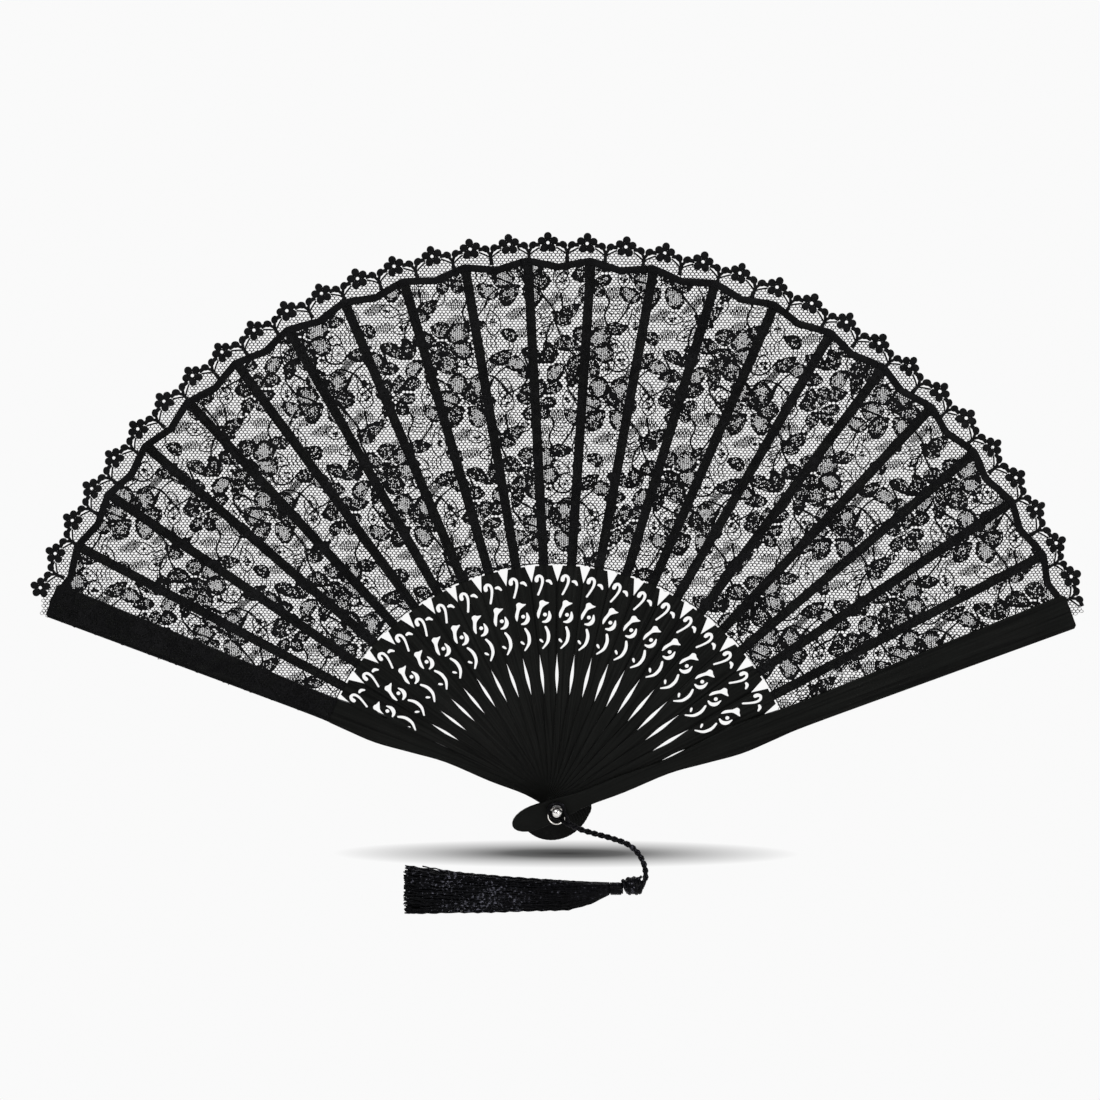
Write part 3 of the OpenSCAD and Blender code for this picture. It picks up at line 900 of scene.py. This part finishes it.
def build_skirt(material):
    """Loose threads that spread from the neck to a ragged end."""
    low, high = node_box("tassel_skirt")
    length = high[0] - low[0]
    middle_y = (low[1] + high[1]) / 2
    skirt = Builder()
    samples, sides = 46, 5
    spin = np.arange(sides) * 2 * np.pi / sides
    ring = np.stack([np.zeros(sides), np.cos(spin), np.sin(spin)], 1)
    for i in range(SKIRT_THREADS):
        out = math.sqrt((i + 0.5) / SKIRT_THREADS)
        loose = i % 5 == 0 and out > 0.5
        end = 0.99 - 0.03 * abs(RANDOM.normal()) - 0.04 * RANDOM.random() * loose
        u = np.linspace(0, max(0.84, end), samples)
        middle, half_h, half_d = [np.interp(u, SKIRT[:, 0], SKIRT[:, c]) for c in (1, 2, 3)]
        swing = (0.7 if loose else 0.2) * RANDOM.normal() * u**2
        wave = np.sin(u * RANDOM.uniform(6, 16) + RANDOM.uniform(0, 6.3)) * u
        kink = np.sin(u * RANDOM.uniform(70, 110) + RANDOM.uniform(0, 6.3))
        turn = i * 2.399963 + swing + 0.05 * wave
        reach = np.clip(out * (1 + 0.03 * wave + (0.12 if loose else 0.0) * u**3), 0, 1.06)
        z = middle + half_h * reach * np.cos(turn) + 0.2 * kink * np.minimum(4 * u, 1)
        y = middle_y + half_d * np.minimum(reach, 1) * np.sin(turn)
        path = np.stack([high[0] - u * length, y, z], 1)
        radius = (0.34 - 0.04 * u)[:, None, None]
        points = path[:, None, :] + radius * ring[None]
        skirt.add(points.reshape(-1, 3), *ring_faces(samples, sides))
    piece = skirt.make("skirt_threads", material, "tassel", "tassel")
    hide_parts("tassel_skirt")


# ---------------------------------------------------------------- materials


class Nodes:
    """A short way to write a node material."""

    def __init__(self, name):
        self.material = bpy.data.materials.new(name)
        self.material.use_nodes = True
        self.tree = self.material.node_tree
        self.shader = self.tree.nodes["Principled BSDF"]

    def node(self, kind, inputs=(), **settings):
        made = self.tree.nodes.new("ShaderNode" + kind)
        for key, value in settings.items():
            setattr(made, key, value)
        for key, value in dict(inputs).items():
            self.put(made.inputs[key], value)
        return made

    def put(self, socket, value):
        if isinstance(value, bpy.types.NodeSocket):
            self.tree.links.new(value, socket)
        else:
            socket.default_value = value

    def set(self, **inputs):
        for key, value in inputs.items():
            self.put(self.shader.inputs[key.replace("_", " ")], value)

    def math(self, operation, first, second=0.0):
        return self.node("Math", {0: first, 1: second}, operation=operation).outputs[0]

    def place(self):
        return self.node("TexCoord").outputs["Object"]

    def noise(self, vector, scale, detail=3.0, rough=0.55):
        made = self.node(
            "TexNoise", {"Vector": vector, "Scale": scale, "Detail": detail, "Roughness": rough}
        )
        return made.outputs["Fac"]

    def ramp(self, value, *stops):
        made = self.node("ValToRGB", {"Fac": value})
        marks = made.color_ramp.elements
        while len(marks) < len(stops):
            marks.new(0.5)
        for mark, (place, shade) in zip(marks, stops):
            mark.position = place
            mark.color = (*shade, 1) if isinstance(shade, tuple) else (shade, shade, shade, 1)
        return made.outputs["Color"]

    def bump(self, height, distance, strength=1.0):
        made = self.node(
            "Bump", {"Height": height, "Distance": distance, "Strength": strength}
        )
        return made.outputs["Normal"]

    def polar(self, across, along):
        """Coordinates that follow the blades: angle times across, and radius times along."""
        parts = self.node("SeparateXYZ", {0: self.place()}).outputs
        angle = self.math("ARCTAN2", parts["X"], parts["Z"])
        flat = self.node("CombineXYZ", {"X": parts["X"], "Y": parts["Z"]}).outputs[0]
        radius = self.node("VectorMath", {0: flat}, operation="LENGTH").outputs["Value"]
        return self.node(
            "CombineXYZ",
            {"X": self.math("MULTIPLY", angle, across), "Y": self.math("MULTIPLY", radius, along),
             "Z": self.math("MULTIPLY", parts["Y"], 900.0)},
        ).outputs[0]


def wood(name, dark, light, rough):
    """Stained wood whose grain runs along each blade."""
    n = Nodes(name)
    middle = tuple((d + l) / 2 for d, l in zip(dark, light))
    grain = n.noise(n.polar(95.0, 9.0), 1.0, 6.0, 0.6)
    fine = n.noise(n.polar(420.0, 60.0), 1.0, 3.0, 0.5)
    cloud = n.noise(n.place(), 40.0, 2.0)
    both = n.math("ADD", n.math("MULTIPLY", grain, 0.6), n.math("MULTIPLY", fine, 0.25))
    both = n.math("ADD", both, n.math("MULTIPLY", cloud, 0.15))
    n.set(
        Base_Color=n.ramp(both, (0.36, dark), (0.52, middle), (0.72, light)),
        Roughness=n.ramp(fine, (0.3, rough - 0.07), (0.7, rough + 0.1)),
        Specular_IOR_Level=0.05,
        Normal=n.bump(n.math("ADD", grain, fine), 0.00012, 0.5),
    )
    return n.material


def thread(name, dark, light, rough, sheen, scale, painted_glint=None):
    """Cotton or silk thread: fine mottling, a soft sheen, and on silk painted glints, highlights
    painted into its colour.
    """
    n = Nodes(name)
    mottle = n.noise(n.place(), scale, 3.0, 0.6)
    patch = n.noise(n.place(), 60.0, 2.0)
    shade = n.math("ADD", n.math("MULTIPLY", mottle, 0.65), n.math("MULTIPLY", patch, 0.35))
    n.set(
        # the third stop paints glints into the colour: a painted highlight, not a real one
        Base_Color=n.ramp(shade, (0.35, dark), (0.58, light), (0.64, painted_glint or light)),
        Roughness=n.ramp(mottle, (0.3, rough - 0.08), (0.7, rough + 0.1)),
        Specular_IOR_Level=0.05,
        Sheen_Weight=sheen,
        Sheen_Roughness=0.4,
        Sheen_Tint=(0.5, 0.5, 0.52, 1),
        Normal=n.bump(mottle, 0.00008, 0.6),
    )
    return n.material


def metal(name, colour, rough, dent):
    """Polished metal with soft dents and fine wear."""
    n = Nodes(name)
    dents = n.noise(n.place(), 520.0, 1.0)
    wear = n.noise(n.place(), 2600.0, 3.0)
    n.set(
        Base_Color=n.ramp(wear, (0.3, tuple(0.86 * c for c in colour)), (0.7, colour)),
        Metallic=1.0,
        Roughness=n.ramp(wear, (0.35, rough), (0.75, rough + 0.14)),
        Normal=n.bump(dents, dent, 0.6),
    )
    return n.material


def finish_cad_nodes():
    """Gives the carried-over CAD nodes their materials, and blades and washers soft edges."""
    stick_wood = wood("stick_wood", (0.0006, 0.0007, 0.0006), (0.011, 0.0115, 0.0105), 0.42)
    guard_wood = wood("guard_wood", (0.0006, 0.0007, 0.0006), (0.009, 0.0095, 0.0085), 0.40)
    chrome = metal("pin_chrome", (0.87, 0.85, 0.82), 0.10, 0.00022)
    wire = metal("ring_wire", (0.84, 0.81, 0.76), 0.14, 0.00006)
    steel = metal("washer_steel", (0.55, 0.55, 0.56), 0.28, 0.00004)
    finishes = {"pivot_pin": chrome, "cord_ring": wire, "front_washer": steel, "back_washer": steel}
    for name, node in frame["nodes"].items():
        if name.startswith("stick_"):
            material, edge = stick_wood, 0.1
        elif name.endswith("_guard"):
            material, edge = guard_wood, 0.32
        elif name in finishes:
            material, edge = finishes[name], 0.05
        else:
            continue
        node.data.materials.clear()
        node.data.materials.append(material)
        if name not in ("pivot_pin", "cord_ring"):
            weld = node.modifiers.new("weld", "WELD")
            weld.merge_threshold = 0.002 * MM
            bevel = node.modifiers.new("soft_edges", "BEVEL")
            bevel.width = edge * MM
            bevel.segments = 2
            bevel.limit_method = "ANGLE"
            bevel.angle_limit = math.radians(40)
            bevel.harden_normals = True


# ---------------------------------------------------------------- stage, light and camera

WHITE = (0.955, 0.955, 0.955, 1)
# The soft shadow on the floor behind the fan: its middle's X and Y, then its half size in each.
SHADOW = (14, 459, 141, 32)


def build_stage():
    """A pale floor that curves up into a backdrop, with a soft shadow painted on the floor."""
    floor_z = -150.0
    front, back, cove = -1500.0, 2000.0, 500.0
    profile = [(front, floor_z), (back - cove, floor_z)]
    for turn in np.radians(np.linspace(0, 90, 13)[1:]):
        profile.append((back - cove + cove * math.sin(turn), floor_z + cove * (1 - math.cos(turn))))
    profile.append((back, 2600.0))
    stage = Builder()
    points = [(side * 2400.0, y, z) for y, z in profile for side in (-1, 1)]
    rows = np.arange(len(profile) - 1)[:, None] * 2
    stage.add(points, np.concatenate([rows, rows + 1, rows + 3, rows + 2], 1))
    n = Nodes("pale_backdrop")
    place = n.node("SeparateXYZ", {0: n.place()}).outputs
    x, y, half_x, half_y = (length * MM for length in SHADOW)
    across = n.math("DIVIDE", n.math("SUBTRACT", place["X"], x), half_x)
    along = n.math("DIVIDE", n.math("SUBTRACT", place["Y"], y), half_y)
    reach = n.math("SQRT", n.math("ADD", n.math("MULTIPLY", across, across),
                                  n.math("MULTIPLY", along, along)))
    dim = n.ramp(reach, (0.0, 0.05), (0.25, 0.13), (0.6, 0.55), (1.0, WHITE[0]))
    n.set(Base_Color=dim, Roughness=0.9, Specular_IOR_Level=0.1)
    glow = n.node("Emission", {"Color": dim, "Strength": 1.0})
    seen = n.node("LightPath").outputs["Is Camera Ray"]
    mix = n.node("MixShader", {0: seen, 1: n.shader.outputs[0], 2: glow.outputs[0]})
    n.tree.links.new(mix.outputs[0], n.tree.nodes["Material Output"].inputs["Surface"])
    stage.make("backdrop", n.material)


def area_light(name, place, aim, size, power):
    light = bpy.data.lights.new(name, "AREA")
    light.shape = "DISK"
    light.size = size
    light.energy = power
    lamp = bpy.data.objects.new(name, light)
    lamp.location = place
    lamp.rotation_euler = (Vector(aim) - Vector(place)).to_track_quat("-Z", "Y").to_euler()
    bpy.context.scene.collection.objects.link(lamp)


def build_light():
    scene = bpy.context.scene
    world = bpy.data.worlds.new("studio")
    world.use_nodes = True
    tree = world.node_tree
    background = tree.nodes["Background"]
    path = tree.nodes.new("ShaderNodeLightPath")
    shade = tree.nodes.new("ShaderNodeMix")
    shade.data_type = "RGBA"
    shade.inputs["A"].default_value = (0.34, 0.34, 0.35, 1)
    shade.inputs["B"].default_value = WHITE
    tree.links.new(path.outputs["Is Camera Ray"], shade.inputs["Factor"])
    tree.links.new(shade.outputs["Result"], background.inputs["Color"])
    scene.world = world
    aim = (0, 0, 0.1)
    area_light("key", (-0.7, -1.1, 1.2), aim, 0.9, 17)
    area_light("fill", (1.0, -1.2, 0.5), aim, 1.1, 9)
    area_light("back", (0.2, 1.0, 1.1), aim, 1.0, 9)
    scene.view_settings.view_transform = "Standard"


def build_camera():
    """A lens a little to the left and above, turned slightly, so that the fan leans right."""
    camera = bpy.data.cameras.new("camera")
    camera.sensor_width = 36
    distance = 0.9
    view_width = 0.4275
    camera.lens = camera.sensor_width * distance / view_width
    camera.clip_end = 20
    lens = bpy.data.objects.new("camera", camera)
    aim = Vector((-0.0030, -0.011, 0.1012))
    yaw, pitch, roll = (math.radians(turn) for turn in (-0.75, 7.99, 0.32))
    level = math.cos(pitch)
    lens.location = aim + distance * Vector(
        (math.sin(yaw) * level, -math.cos(yaw) * level, math.sin(pitch))
    )
    facing = (aim - lens.location).to_track_quat("-Z", "Y")
    lens.rotation_euler = (facing @ Quaternion((0, 0, 1), roll)).to_euler()
    bpy.context.scene.collection.objects.link(lens)
    bpy.context.scene.camera = lens


# ---------------------------------------------------------------- the fan

BLACK = (0.0006, 0.0006, 0.0007)
finish_cad_nodes()
net_thread = thread("net_thread", BLACK, (0.007, 0.007, 0.0075), 0.68, 0.06, 2600.0)
gimp_thread = thread("gimp_thread", BLACK, (0.005, 0.005, 0.0055), 0.6, 0.05, 2600.0)
ribbon_weave = thread("ribbon_weave", BLACK, (0.0045, 0.0045, 0.005), 0.5, 0.04, 1800.0)
trim_thread = thread("trim_thread", BLACK, (0.006, 0.006, 0.0065), 0.5, 0.06, 2200.0)
# silk's last colour is a painted glint: bright specks of painted highlight in its colour
silk = thread("silk_yarn", BLACK, (0.004, 0.004, 0.005), 0.3, 0.0, 900.0, (0.09, 0.09, 0.11))
build_lace(net_thread, gimp_thread)
build_edging(ribbon_weave, trim_thread)
build_cord(silk)
build_tassel_head(silk)
build_skirt(silk)
build_stage()
build_light()
build_camera()
